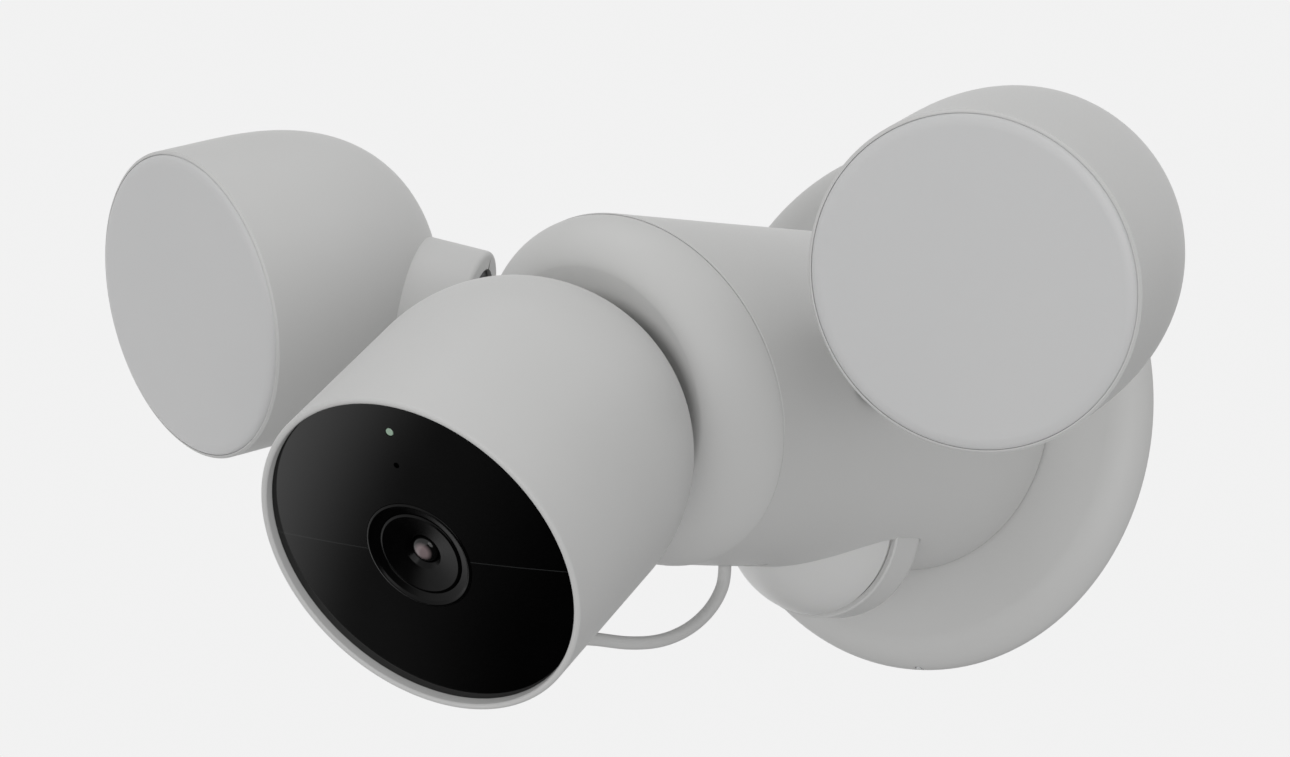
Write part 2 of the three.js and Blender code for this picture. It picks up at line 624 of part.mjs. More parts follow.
function buildLamp(side) {
  buildArm(side);
  const { yaw, down, roll } = LAMP_AIM[side];
  const frame = nested(assembly, mirrored(BALL_CENTRE, side), down, roll, yaw);
  const neck = mirrored(NECK_IN_LAMP, side, -1);
  const origin = point(0, 0, 0);
  const face = mirrored(BALL_IN_LAMP, side).setY(-BALL_IN_LAMP.y).setZ(-BALL_IN_LAMP.z);

  const seatRadius = ARM_BALL_RADIUS + GAP;
  const socketProfile = [
    [NECK_BORE - GAP, -13],
    [NECK_BORE - GAP, NECK_END - 1],
    [seatRadius, NECK_END - 1],
    ...arc(0, 0, seatRadius, seatRadius, 12, -74, 7),
    [3, -13],
  ];
  addMesh(frame, `${side}_socket`, along(revolved(socketProfile, MEDIUM), origin, neck), MATERIALS.dark);

  const dome = (wall, steps) =>
    superArc(LAMP_RADIUS - wall, LAMP_DOME - wall, LAMP_ROUNDNESS, steps)
      .map(([radius, height]) => [radius, LAMP_STRAIGHT + height]);
  const body = revolved([[0, 0], [LAMP_RADIUS - 0.5, 0], [LAMP_RADIUS, 0.5], ...dome(0, 8)]);
  const rimInside = LAMP_RADIUS - LAMP_RIM;
  const hollow = revolved([[0, -1], [rimInside, -1], [rimInside, 6], ...dome(LAMP_WALL, 5)]);
  const neckTube = revolved([
    [0, -17],
    [NECK_RADIUS, -17],
    [NECK_RADIUS, NECK_END - 1],
    [NECK_RADIUS - 1, NECK_END],
    [0, NECK_END],
  ], MEDIUM);
  const neckBore = revolved([[0, -13.3], [NECK_BORE, -13.3], [NECK_BORE, 12], [0, 12]], MEDIUM);
  const wireWay = disc(4, -30, 0, SMALL);
  const housing = cut(
    join(cut(along(body, face), along(hollow, face)), along(neckTube, origin, neck)),
    along(neckBore, origin, neck),
    along(wireWay, origin, neck),
  );
  addMesh(frame, `${side}_lamp_housing`, housing, MATERIALS.shell);

  const coverRadius = rimInside - GAP;
  const flat = coverRadius - COVER_EDGE;
  const cover = revolved([
    [0, -0.9],
    [flat, -0.9],
    ...arc(flat, 0.9, COVER_EDGE, 1.8, -90, 0, 4).slice(1),
    [coverRadius, 5],
    [coverRadius - 2, 5],
    [coverRadius - 2, 2.4],
    [0, 1],
  ]);
  addMesh(frame, `${side}_lens_cover`, cover, MATERIALS.frosted, face);
  const seal = ring(coverRadius - 2, coverRadius - 0.6, 5.3, 6.5, FINE);
  addMesh(frame, `${side}_lens_seal`, seal, MATERIALS.rubber, face);
  const reflector = revolved([
    [12, 9.6],
    [31, 3.2],
    [33, 3.2],
    [33, 6.6],
    [31, 6.6],
    [15, 11.2],
    [12, 11.2],
  ], MEDIUM);
  addMesh(frame, `${side}_reflector`, reflector, MATERIALS.white, face);
  addMesh(frame, `${side}_led_board`, disc(30, 11.6, 13.2), MATERIALS.white, face);
  const heatSink = revolved([
    [0, 13.6],
    [32, 13.6],
    [32, 24],
    [30, 24],
    [30, 17],
    [22, 17],
    [22, 24],
    [20, 24],
    [20, 17],
    [0, 17],
  ], MEDIUM);
  addMesh(frame, `${side}_heat_sink`, heatSink, MATERIALS.aluminium, face);
}

export default assembly;
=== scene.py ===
"""The looks of a wall-mounted floodlight camera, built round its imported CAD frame.

Shapes are worked out in millimetres and placed in the frame's metres. Each lathe turns about its own Y
axis and faces -Y, as the CAD nodes do. Each fine piece stands for the faceted CAD node that it is named
after, and the cable is two tubes that stand for one node.
"""

import json
import math

import bmesh
import bpy
from mathutils import Matrix, Vector

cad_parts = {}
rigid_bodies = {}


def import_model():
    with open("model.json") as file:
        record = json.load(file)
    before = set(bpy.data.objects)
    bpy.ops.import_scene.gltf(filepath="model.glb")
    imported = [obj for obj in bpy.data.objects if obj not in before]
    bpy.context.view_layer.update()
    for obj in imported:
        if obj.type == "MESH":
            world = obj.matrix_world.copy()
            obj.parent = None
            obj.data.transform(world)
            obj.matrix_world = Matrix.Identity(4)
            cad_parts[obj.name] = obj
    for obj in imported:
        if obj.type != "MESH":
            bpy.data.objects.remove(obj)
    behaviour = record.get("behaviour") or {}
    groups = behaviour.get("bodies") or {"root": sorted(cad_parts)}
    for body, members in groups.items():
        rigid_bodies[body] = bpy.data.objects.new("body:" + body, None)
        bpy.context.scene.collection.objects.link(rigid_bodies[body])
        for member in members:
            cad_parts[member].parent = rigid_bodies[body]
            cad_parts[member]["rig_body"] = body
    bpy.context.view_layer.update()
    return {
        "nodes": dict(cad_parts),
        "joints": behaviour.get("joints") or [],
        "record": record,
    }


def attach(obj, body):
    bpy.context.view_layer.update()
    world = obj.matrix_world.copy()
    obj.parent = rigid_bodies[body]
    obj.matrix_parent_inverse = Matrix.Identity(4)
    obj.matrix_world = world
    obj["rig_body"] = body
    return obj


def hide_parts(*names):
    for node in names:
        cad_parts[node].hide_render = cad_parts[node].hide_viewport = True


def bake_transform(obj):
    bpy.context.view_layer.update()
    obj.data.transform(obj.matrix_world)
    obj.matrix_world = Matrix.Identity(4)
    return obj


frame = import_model()

MM = 0.001
SEGMENTS = 160
SMALL_SEGMENTS = 48

joints = {joint["name"]: joint for joint in frame["joints"]}
slot_of = {part["node"]: part["material_slot"] for part in frame["record"]["subparts"]}

TINY = 1e-9
NEARLY_STRAIGHT = math.radians(165)
MOST_OF_A_SIDE = 0.45
SMOOTH_BELOW = math.radians(32)

# Sizes in millimetres. They are the CAD's, but gaps and seams are finer and the covers are sunk less.
WALL_GAP = 0.3
FINE_GAP = 0.1
PLATE_RADIUS = 66.3
PLATE_BACK = 1.5
PLATE_DEPTH = 8.5
PLATE_EDGE_WIDTH = 9
PLATE_WALL = 2.5
PLATE_HOLE = 28
RETAINING_SCREW_Y = -3.3
RETAINING_HOLE_RADIUS = 1.2
GASKET_RADIUS = 61
GASKET_WIDTH = 4
BRACKET_RADIUS = 52
BRACKET_SHEET = 1.6
BRACKET_LIP = 5
SLOT_SIZE = (5, 8, 16)
SLOT_X = 44.5
WIRE_HOLE_RADIUS = 13
WIRE_HOLE_Z = -27

BARREL_RADIUS = 41.2
BARREL_FRONT_RADIUS = 40.3
BARREL_WALL = 2.6
BARREL_START = PLATE_DEPTH + WALL_GAP
SEAM_CENTRE = Vector((0, -123.9, -0.4))
SEAM_TILT = math.radians(21.3)
SEAM_HALF_GAP = 0.2
SCREW_CIRCLE = 33.5
SCREW_ANGLES = (90, 210, 330)
SCREW_HOLE_RADIUS = 1.9
UNDERSIDE_HOLE_RADIUS = 3
UNDERSIDE_HOLE_Y = -80.5
UNDERSIDE_HOLE_DIRECTION = (0.09, 0, -1)

CAP_HEIGHT = 14
CAP_INSET = 12.5
CAP_ROUNDNESS = 1.55
BALL_REACH = 48.5
BALL_LIFT = 2.3
DISH_RADIUS = 43.25

HEAD_RADIUS = 40.35
HEAD_RIM_RADIUS = 40.7
HEAD_FRONT = 42.4
HEAD_NOSE = 0.8
HEAD_WALL = 2.4
HEAD_DOWN = math.radians(33.35)
HEAD_ROLL = math.radians(7.5)
HEAD_YAW = math.radians(1.22)
GLASS_RADIUS = 38.9
GLASS_EDGE = 40.2
GLASS_CROWN = 1.7
GLASS_DEPTH = 2.2
GLASS_LINE = 0.14
LENS_RING_RADIUS = 13.4
LENS_DISH_RADIUS = 10.3
LENS_RADIUS = 3.2
LENS_DOME = 1.6
LENS_SUNK = 2.8
# Radii in millimetres from the lens tip where the painted lens reflection is full and where it has faded
# out
PAINTED_GLINT_INNER = 1.3
PAINTED_GLINT_OUTER = 2.4
LIGHT_UP = 31.4
LIGHT_RADIUS = 0.95
LIGHT_HOLE_RADIUS = 1.05
SOUND_UP = 23.2
SOUND_HOLE_RADIUS = 0.7
SPEAKER_Y = -26.5
SPEAKER_HOLES_X = (-6, -3, 0, 3, 6)
SPEAKER_HOLE_RADIUS = 0.9
PORT_IN_HEAD = Vector((0, -5, -HEAD_RADIUS))
PORT_DIRECTION = Vector((0, 0.34, -0.94)).normalized()
PORT_RADIUS = 3
PLUG_PROUD = 3
PLUG_RADIUS = 2.6
BUTTON_ANGLE = math.radians(60)
BUTTON_RADIUS = 3
BUTTON_FLANGE = 4.2

LAMP_RADIUS = 38
LAMP_STRAIGHT = 14.6
LAMP_DOME = 49
LAMP_ROUNDNESS = 2.6
LAMP_WALL = 2.4
LAMP_RIM = 0.8
COVER_CLEARANCE = 0.04
COVER_RADIUS = LAMP_RADIUS - LAMP_RIM - COVER_CLEARANCE
COVER_EDGE = 3
COVER_SUNK = 0.35
BALL_IN_LAMP = Vector((29.99, 55.85, -17.09))
NECK_IN_LAMP = Vector((0.682, 0.602, -0.415)).normalized()
NECK_RADIUS = 17.8
NECK_BORE = 13.5
NECK_START = -17
NECK_END = 4
SOCKET_START = -13
SOCKET_BORE = 3
ARM_BALL_RADIUS = 11
ARM_START = 15.5
ARM_RADIUS = 9.4
ARM_BORE = 2.5
STUD_STEM_RADIUS = 6.5
SPIGOT_RADIUS = 7
ARM_DIRECTION = Vector((0.84, 0.485, -0.245)).normalized()
ARM_FLARE = 25
LAMP_AIM = {
    "left": {"yaw": math.radians(-17.8), "down": math.radians(14.1), "roll": math.radians(-1.44)},
    "right": {"yaw": math.radians(12.4), "down": math.radians(15.9), "roll": math.radians(-1.44)},
}

SENSOR_CENTRE = Vector((0, -49.4, -29.2))
SENSOR_LENS_RADIUS = 23.2
SENSOR_LENS_DEPTH = 24.3
SENSOR_LENS_ROUNDNESS = 1.65
SENSOR_COLLAR_RADIUS = 23.9
SENSOR_WALL = 1.5
SENSOR_COLLAR_DEPTH = 13.6
SENSOR_COLLAR_CORNER = 5
SENSOR_TOP = -18

CABLE_RADIUS = 1.55
CABLE_EXIT_Y = -88
CABLE_START_Z = -37.7
GROMMET_RADIUS = 4
GROMMET_LENGTH = 4.6


# ---- frames ----


def turned(centre, down, roll=0.0, yaw=0.0):
    """A frame at a centre in millimetres, facing local -Y."""
    turn = Matrix.Rotation(yaw, 4, "Z") @ Matrix.Rotation(down, 4, "X") @ Matrix.Rotation(roll, 4, "Y")
    return Matrix.Translation(centre) @ turn


def along(centre, direction):
    """A frame at a centre whose Y axis runs along a direction."""
    turn = Vector((0, 1, 0)).rotation_difference(Vector(direction))
    return Matrix.Translation(centre) @ turn.to_matrix().to_4x4()


def joint_place(name):
    return Vector(joints[name]["pos_m"]) / MM


def for_side(vector, side, sense=1):
    """The lamp vector for a side; sense -1 turns its X direction round."""
    sign = (-1 if side == "left" else 1) * sense
    return Vector((vector.x * sign, vector.y, vector.z))


WORLD = Matrix.Identity(4)
cap_frame = turned(SEAM_CENTRE, SEAM_TILT)
ball_seat = joint_place("head_pan")
right_ball = joint_place("right_pan")
joint_ball = Vector((abs(right_ball.x), right_ball.y, right_ball.z))
head_frame = turned(ball_seat, HEAD_DOWN, HEAD_ROLL, HEAD_YAW)


# ---- camera ----

# Distances and places in metres, the lens and its sensor in millimetres
CAMERA_AZIMUTH = math.radians(36.255)
CAMERA_ELEVATION = math.radians(-2.036)
CAMERA_ROLL = math.radians(0.499)
CAMERA_TARGET = Vector((-0.0314, -0.0778, 0.0047))
CAMERA_DISTANCE = 1.2533
CAMERA_LENS = 144.04
CAMERA_SENSOR = 36
CAMERA_CLIP_START = 0.05
CAMERA_CLIP_END = 60


def add_camera():
    data = bpy.data.cameras.new("camera")
    data.lens = CAMERA_LENS
    data.sensor_width = CAMERA_SENSOR
    data.clip_start = CAMERA_CLIP_START
    data.clip_end = CAMERA_CLIP_END
    camera = bpy.data.objects.new("camera", data)
    bpy.context.scene.collection.objects.link(camera)
    level = math.cos(CAMERA_ELEVATION)
    back = Vector(
        (math.sin(CAMERA_AZIMUTH) * level, -math.cos(CAMERA_AZIMUTH) * level, math.sin(CAMERA_ELEVATION))
    )
    turn = (-back).to_track_quat("-Z", "Y").to_matrix().to_4x4() @ Matrix.Rotation(CAMERA_ROLL, 4, "Z")
    camera.matrix_world = Matrix.Translation(CAMERA_TARGET + back * CAMERA_DISTANCE) @ turn
    bpy.context.scene.camera = camera


# ---- mesh helpers ----


def arc(centre_r, centre_y, radius_r, radius_y, start, end, steps):
    """Profile points along an arc or an ellipse's arc between two angles in degrees."""
    angles = [math.radians(start + (end - start) * i / steps) for i in range(steps + 1)]
    return [(centre_r + radius_r * math.cos(a), centre_y + radius_y * math.sin(a)) for a in angles]


def super_arc(width, height, exponent, steps):
    """A quarter of a superellipse from (width, 0) to (0, height)."""
    points = []
    for i in range(steps + 1):
        angle = i / steps * math.pi / 2
        across = 0 if i == steps else math.cos(angle) ** (2 / exponent)
        points.append((width * across, height * math.sin(angle) ** (2 / exponent)))
    return points


def softened(profile, radius, steps=4):
    """The profile with each inner corner rounded to a radius, or less where a side is short."""
    made = [profile[0]]
    for before, corner, after in zip(profile, profile[1:], profile[2:]):
        here = Vector(corner)
        back = Vector(before) - here
        ahead = Vector(after) - here
        turn = back.angle(ahead)
        longest = min(back.length, ahead.length) * MOST_OF_A_SIDE
        reach = min(radius / math.tan(turn / 2), longest)
        if turn > NEARLY_STRAIGHT:
            made.append(corner)
            continue
        start = here + back.normalized() * reach
        end = here + ahead.normalized() * reach
        for i in range(steps + 1):
            t = i / steps
            made.append(tuple(start * (1 - t) ** 2 + here * 2 * t * (1 - t) + end * t**2))
    return made + [profile[-1]]


def lathe(profile, segments=SEGMENTS):
    """A closed body of revolution about Y. A profile off the axis closes on itself."""
    made = bmesh.new()
    rings = []
    for radius, y in profile:
        angles = [0] if radius < TINY else [2 * math.pi * i / segments for i in range(segments)]
        rings.append([made.verts.new((radius * math.cos(a), y, radius * math.sin(a))) for a in angles])
    pairs = list(zip(rings, rings[1:]))
    if len(rings[0]) > 1 or len(rings[-1]) > 1:
        pairs.append((rings[-1], rings[0]))
    for first, second in pairs:
        join_rings(made, first, second, segments)
    bmesh.ops.recalc_face_normals(made, faces=made.faces)
    return made


def join_rings(made, first, second, segments):
    """Faces between two rings of vertices, either of which may be one vertex on the axis."""
    for i in range(segments):
        j = (i + 1) % segments
        corners = [first[i % len(first)], first[j % len(first)]]
        corners += [second[j % len(second)], second[i % len(second)]]
        corners = list(dict.fromkeys(corners))
        if len(corners) > 2:
            made.faces.new(corners)


def block(width, depth, height, centre=(0, 0, 0)):
    made = bmesh.new()
    bmesh.ops.create_cube(made, size=1, matrix=Matrix.Diagonal((width, depth, height, 1)))
    bmesh.ops.translate(made, vec=centre, verts=made.verts)
    return made


def placed(made, place=WORLD, name="tool"):
    """An object in the scene from a mesh in millimetres, at a frame."""
    bmesh.ops.transform(made, matrix=Matrix.Scale(MM, 4) @ place, verts=made.verts)
    mesh = bpy.data.meshes.new(name)
    made.to_mesh(mesh)
    made.free()
    piece = bpy.data.objects.new(name, mesh)
    bpy.context.scene.collection.objects.link(piece)
    return piece


def combine(piece, operation, *tools):
    """Cuts the tools from a piece, or joins them to it, and removes them."""
    for tool in tools:
        modifier = piece.modifiers.new("boolean", "BOOLEAN")
        modifier.operation = operation
        modifier.solver = "EXACT"
        modifier.object = tool
    graph = bpy.context.evaluated_depsgraph_get()
    result = bpy.data.meshes.new_from_object(piece.evaluated_get(graph))
    piece.modifiers.clear()
    piece.data = result
    for tool in tools:
        bpy.data.objects.remove(tool)
    return piece


def cut(piece, *tools):
    return combine(piece, "DIFFERENCE", *tools)


def stand_for(piece, node, others=()):
    """The piece is smooth, looks like its CAD node's slot, rides where the node does and stands for it."""
    piece.name = node + "_fine"
    piece.data.name = piece.name
    shade(piece)
    piece.data.materials.clear()
    piece.data.materials.append(materials[slot_of[node]])
    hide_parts(node, *others)
    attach(piece, frame["nodes"][node]["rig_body"])


def shade(piece):
    for polygon in piece.data.polygons:
        polygon.use_smooth = True
    piece.data.set_sharp_from_angle(angle=SMOOTH_BELOW)
    weighted = piece.modifiers.new("weighted", "WEIGHTED_NORMAL")
    weighted.keep_sharp = True


# ---- materials ----


class Look:
    """A procedural material: a Principled shader and the nodes that feed it, in object coordinates."""

    def __init__(self, name, color, roughness, metallic=0.0):
        self.material = bpy.data.materials.new(name)
        self.material.use_nodes = True
        self.tree = self.material.node_tree
        self.shader = self.tree.nodes["Principled BSDF"]
        self.set("Base Color", (*color, 1))
        self.set("Roughness", roughness)
        self.set("Metallic", metallic)
        self.place = self.tree.nodes.new("ShaderNodeTexCoord").outputs["Object"]

    def set(self, socket, value):
        self.shader.inputs[socket].default_value = value

    def link(self, output, target):
        self.tree.links.new(output, target)

    def noise(self, per_metre, detail=3.0, stretch=(1, 1, 1)):
        """A noise of about per_metre features in a metre."""
        mapping = self.tree.nodes.new("ShaderNodeMapping")
        mapping.inputs["Scale"].default_value = stretch
        self.link(self.place, mapping.inputs["Vector"])
        node = self.tree.nodes.new("ShaderNodeTexNoise")
        node.inputs["Scale"].default_value = per_metre
        node.inputs["Detail"].default_value = detail
        self.link(mapping.outputs["Vector"], node.inputs["Vector"])
        return node.outputs["Fac"]

    def distance_to(self, point):
        node = self.tree.nodes.new("ShaderNodeVectorMath")
        node.operation = "DISTANCE"
        node.inputs[1].default_value = point
        self.link(self.place, node.inputs[0])
        return node.outputs["Value"]

    def height_over(self, point, normal):
        """How far from a plane a place is, on either side."""
        dot = self.tree.nodes.new("ShaderNodeVectorMath")
        dot.operation = "DOT_PRODUCT"
        dot.inputs[1].default_value = normal
        self.link(self.place, dot.inputs[0])
        offset = self.tree.nodes.new("ShaderNodeMath")
        offset.operation = "SUBTRACT"
        offset.inputs[1].default_value = point.dot(normal)
        self.link(dot.outputs["Value"], offset.inputs[0])
        size = self.tree.nodes.new("ShaderNodeMath")
        size.operation = "ABSOLUTE"
        self.link(offset.outputs["Value"], size.inputs[0])
        return size.outputs["Value"]

    def spread(self, value, low, high, start=0.3, end=0.7):
        """The value from start to end mapped to a number from low to high."""
        node = self.tree.nodes.new("ShaderNodeMapRange")
        numbers = {"From Min": start, "From Max": end, "To Min": low, "To Max": high}
        for socket, number in numbers.items():
            node.inputs[socket].default_value = number
        self.link(value, node.inputs["Value"])
        return node.outputs["Result"]

    def tint(self, value, color):
        """Mixes the base colour towards another by a value."""
        node = self.tree.nodes.new("ShaderNodeMix")
        node.data_type = "RGBA"
        base = self.shader.inputs["Base Color"]
        node.inputs["A"].default_value = base.default_value
        node.inputs["B"].default_value = (*color, 1)
        if base.is_linked:
            self.link(base.links[0].from_socket, node.inputs["A"])
        self.link(value, node.inputs["Factor"])
        self.link(node.outputs["Result"], base)

    def roughen(self, value, low, high):
        self.link(self.spread(value, low, high), self.shader.inputs["Roughness"])

    def bump(self, value, depth):
        """Raises the surface by a value times a depth in metres."""
        node = self.tree.nodes.new("ShaderNodeBump")
        node.inputs["Strength"].default_value = 1.0
        node.inputs["Distance"].default_value = depth
        self.link(value, node.inputs["Height"])
        normal = self.shader.inputs["Normal"]
        if normal.is_linked:
            self.link(normal.links[0].from_socket, node.inputs["Normal"])
        self.link(node.outputs["Normal"], normal)


def white_shell():
    look = Look("white_shell", (0.60, 0.60, 0.595), 0.5)
    look.tint(look.spread(look.noise(22), 0, 0.5), (0.57, 0.57, 0.56))
    grain = look.noise(1800, 2)
    look.roughen(grain, 0.46, 0.56)
    look.bump(grain, 0.000006)
    return look.material


def frosted_cover():
    look = Look("frosted_cover", (0.62, 0.62, 0.62), 0.42)
    look.tint(look.spread(look.noise(14), 0, 0.5), (0.59, 0.595, 0.60))
    grain = look.noise(3200, 2)
    look.roughen(grain, 0.36, 0.46)
    look.bump(grain, 0.00001)
    look.set("Subsurface Weight", 0.15)
    look.set("Subsurface Radius", (0.004, 0.004, 0.004))
    return look.material


def sensor_film():
    look = Look("sensor_film", (0.66, 0.66, 0.655), 0.4)
    look.tint(look.spread(look.noise(30), 0, 0.4), (0.63, 0.63, 0.62))
    look.roughen(look.noise(1800, 2), 0.34, 0.44)
    look.set("Subsurface Weight", 0.2)
    look.set("Subsurface Radius", (0.005, 0.005, 0.004))
    return look.material


def black_glass():
    look = Look("black_glass", (0.001, 0.001, 0.001), 0.07)
    look.roughen(look.noise(60, 4), 0.06, 0.10)
    look.tint(look.spread(look.noise(900), 0, 0.3), (0.002, 0.002, 0.002))
    across = head_frame.to_3x3() @ Vector((0, 0, 1))
    height = look.height_over(ball_seat * MM, across)
    look.tint(look.spread(height, 1, 0, GLASS_LINE * MM / 2, GLASS_LINE * MM), (0.02, 0.021, 0.021))
    return look.material


def dark_gloss():
    look = Look("dark_gloss", (0.001, 0.001, 0.001), 0.2)
    look.set("Specular IOR Level", 0.12)
    look.roughen(look.noise(300, 4), 0.16, 0.26)
    look.tint(look.spread(look.noise(700), 0, 0.4), (0.002, 0.002, 0.002))
    return look.material


def lens_glass():
    look = Look("lens_glass", (0.004, 0.004, 0.004), 0.05)
    tip = head_frame @ Vector((0, glass_y(LENS_RING_RADIUS) + LENS_SUNK - LENS_DOME, 0))
    # Painted reflection: a pinkish glint tinted into the lens colour round its tip, standing in for light
    # reflected in the lens
    painted_glint = look.spread(look.distance_to(tip * MM), 1, 0, PAINTED_GLINT_INNER * MM, PAINTED_GLINT_OUTER * MM)
    look.tint(painted_glint, (0.20, 0.155, 0.16))
    look.set("Specular IOR Level", 0.35)
    look.roughen(look.noise(900), 0.04, 0.08)
    return look.material


def dark_plastic():
    look = Look("dark_plastic", (0.022, 0.022, 0.024), 0.55)
    grain = look.noise(2400, 2)
    look.roughen(grain, 0.48, 0.62)
    look.bump(grain, 0.00002)
    return look.material


def white_plastic():
    look = Look("white_plastic", (0.78, 0.78, 0.76), 0.45)
    look.roughen(look.noise(800), 0.40, 0.52)
    look.tint(look.spread(look.noise(60), 0, 0.4), (0.72, 0.72, 0.70))
    return look.material


def metal(name, color, roughness, spread, stretch):
    """A metal with a fine brushed or cast grain."""
    look = Look(name, color, roughness, 1.0)
    grain = look.noise(700, 4, stretch)
    look.roughen(grain, roughness - spread, roughness + spread)
    look.bump(grain, 0.00001)
    return look.material


def zinc_steel():
    return metal("zinc_steel", (0.56, 0.57, 0.58), 0.38, 0.10, (1, 1, 12))


def screw_steel():
    return metal("screw_steel", (0.50, 0.51, 0.52), 0.34, 0.08, (1, 6, 1))


def magnet_nickel():
    return metal("magnet_nickel", (0.60, 0.60, 0.58), 0.18, 0.05, (1, 1, 1))


def heat_aluminium():
    return metal("heat_aluminium", (0.70, 0.71, 0.72), 0.46, 0.10, (1, 1, 1))


def copper_winding():
    look = Look("copper_winding", (0.50, 0.24, 0.09), 0.35, 0.6)
    winding = look.noise(260, 2, (0.1, 0.1, 8))
    look.bump(winding, 0.0003)
    look.roughen(winding, 0.28, 0.44)
    return look.material


def circuit_board():
    look = Look("circuit_board", (0.015, 0.11, 0.05), 0.38)
    look.tint(look.spread(look.noise(420, 1, (1, 1, 0.2)), 0, 1, 0.55, 0.60), (0.05, 0.20, 0.10))
    look.roughen(look.noise(900), 0.30, 0.46)
    return look.material


def rubber(name, color):
    look = Look(name, color, 0.8)
    grain = look.noise(1900, 3)
    look.roughen(grain, 0.72, 0.88)
    look.bump(grain, 0.00003)
    return look.material


def black_rubber():
    return rubber("black_rubber", (0.020, 0.020, 0.020))


def grey_rubber():
    return rubber("grey_rubber", (0.36, 0.36, 0.355))


def cable_jacket():
    look = Look("cable_jacket", (0.57, 0.57, 0.565), 0.5)
    grain = look.noise(1500, 2)
    look.roughen(grain, 0.46, 0.58)
    look.bump(grain, 0.00001)
    return look.material


def status_green():
    look = Look("status_green", (0.26, 0.36, 0.28), 0.4)
    look.roughen(look.noise(1200), 0.35, 0.45)
    look.set("Emission Color", (0.36, 0.50, 0.38, 1))
    look.set("Emission Strength", 0.12)
    return look.material


LOOKS = (
    white_shell, frosted_cover, sensor_film, black_glass, dark_gloss, lens_glass, dark_plastic,
    white_plastic, zinc_steel, screw_steel, magnet_nickel, heat_aluminium, copper_winding,
    circuit_board, black_rubber, grey_rubber, cable_jacket, status_green,
)
materials = {}


def make_materials():
    for look in LOOKS:
        materials[look.__name__] = look()
    for node, piece in frame["nodes"].items():
        piece.data.materials.clear()
        piece.data.materials.append(materials[slot_of[node]])


# ---- cable ----


def smooth_route(points, per_span=16):
    """Points along the centripetal Catmull-Rom curve through the given ones."""
    known = [points[0] * 2 - points[1], *points, points[-1] * 2 - points[-2]]
    route = []
    for p in zip(known, known[1:], known[2:], known[3:]):
        t = [0.0]
        for a, b in zip(p, p[1:]):
            t.append(t[-1] + math.sqrt((b - a).length))
        for i in range(per_span):
            now = t[1] + (t[2] - t[1]) * i / per_span
            level = list(p)
            for width in (1, 2, 3):
                level = [
                    level[k].lerp(level[k + 1], (now - t[low]) / (t[low + step] - t[low]))
                    for k, low, step in blends(width)
                ]
            route.append(level[0])
    return [*route, points[-1]]


def blends(width):
    """Which neighbours a level of the curve mixes, and over which knots: (index, low knot, knots up)."""
    return {
        1: [(0, 0, 1), (1, 1, 1), (2, 2, 1)],
        2: [(0, 0, 2), (1, 1, 2)],
        3: [(0, 1, 1)],
    }[width]


def spaced(route, count):
    """The route again with points at equal distances."""
    total = sum((b - a).length for a, b in zip(route, route[1:]))
    made = [route[0]]
    travelled = 0.0
    for a, b in zip(route, route[1:]):
        length = (b - a).length
        while len(made) < count and travelled + length >= total * len(made) / count - TINY:
            made.append(a.lerp(b, (total * len(made) / count - travelled) / length))
        travelled += length
    return [*made[:count], route[-1]]


def tube(route, radius, segments=32):
    """A tube with flat ends along a route."""
    made = bmesh.new()
    across = Vector((1, 0, 0))
    rings = []
    for i, centre in enumerate(route):
        ahead = (route[min(i + 1, len(route) - 1)] - route[max(i - 1, 0)]).normalized()
        across = (across - ahead * across.dot(ahead)).normalized()
        up = ahead.cross(across)
        angles = [2 * math.pi * k / segments for k in range(segments)]
        spokes = [across * math.cos(a) + up * math.sin(a) for a in angles]
        rings.append([made.verts.new(centre + spoke * radius) for spoke in spokes])
    for first, second in zip(rings, rings[1:]):
        join_rings(made, first, second, segments)
    made.faces.new(rings[0])
    made.faces.new(rings[-1])
    bmesh.ops.recalc_face_normals(made, faces=made.faces)
    return made


def cable_route():
    start = Vector((0, CABLE_EXIT_Y, CABLE_START_Z))
    hanging = [
        Vector((0, CABLE_EXIT_Y, -42)),
        Vector((0, -88.9, -45.4)),
        Vector((0, -92.6, -49.8)),
        Vector((0, -98.8, -53.8)),
        Vector((0, -106.6, -56.7)),
        Vector((-0.3, -115, -58.3)),
        Vector((-1.5, -124, -58.6)),
        Vector((-3.3, -133, -57.8)),
    ]
    plug_end = PLUG_PROUD + WALL_GAP
    arrival = [head_frame @ (PORT_IN_HEAD + PORT_DIRECTION * (plug_end + out)) for out in (4, 0)]
    return smooth_route([start, *hanging, *arrival])


def add_cable():
    """The cable crosses two joints, so it is two tubes that meet in the middle."""
    steps = 40
    route = spaced(cable_route(), 2 * steps)
    halves = [("camera_cable_back", route[: steps + 1], "root", "head_seat")]
    halves.append(("camera_cable_front", route[steps:], "head_seat", "camera_head"))
    for name, points, first, second in halves:
        piece = placed(tube(points, CABLE_RADIUS), WORLD, name)
        shade(piece)
        piece.data.materials.append(materials["cable_jacket"])
        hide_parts("camera_cable")
        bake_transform(piece)


# ---- wall plate ----


def screw_places():
    angles = [math.radians(angle) for angle in SCREW_ANGLES]
    return [Vector((SCREW_CIRCLE * math.cos(a), 0, SCREW_CIRCLE * math.sin(a))) for a in angles]


def screw_holes():
    """Tools for the holes where the barrel is screwed to the plate."""
    return [rod(SCREW_HOLE_RADIUS, -20, 0, along(place, (0, 1, 0))) for place in screw_places()]


def rod(radius, start, end, place, segments=SMALL_SEGMENTS):
    """A plain round tool for cutting."""
    return placed(lathe([(0, start), (radius, start), (radius, end), (0, end)], segments), place)


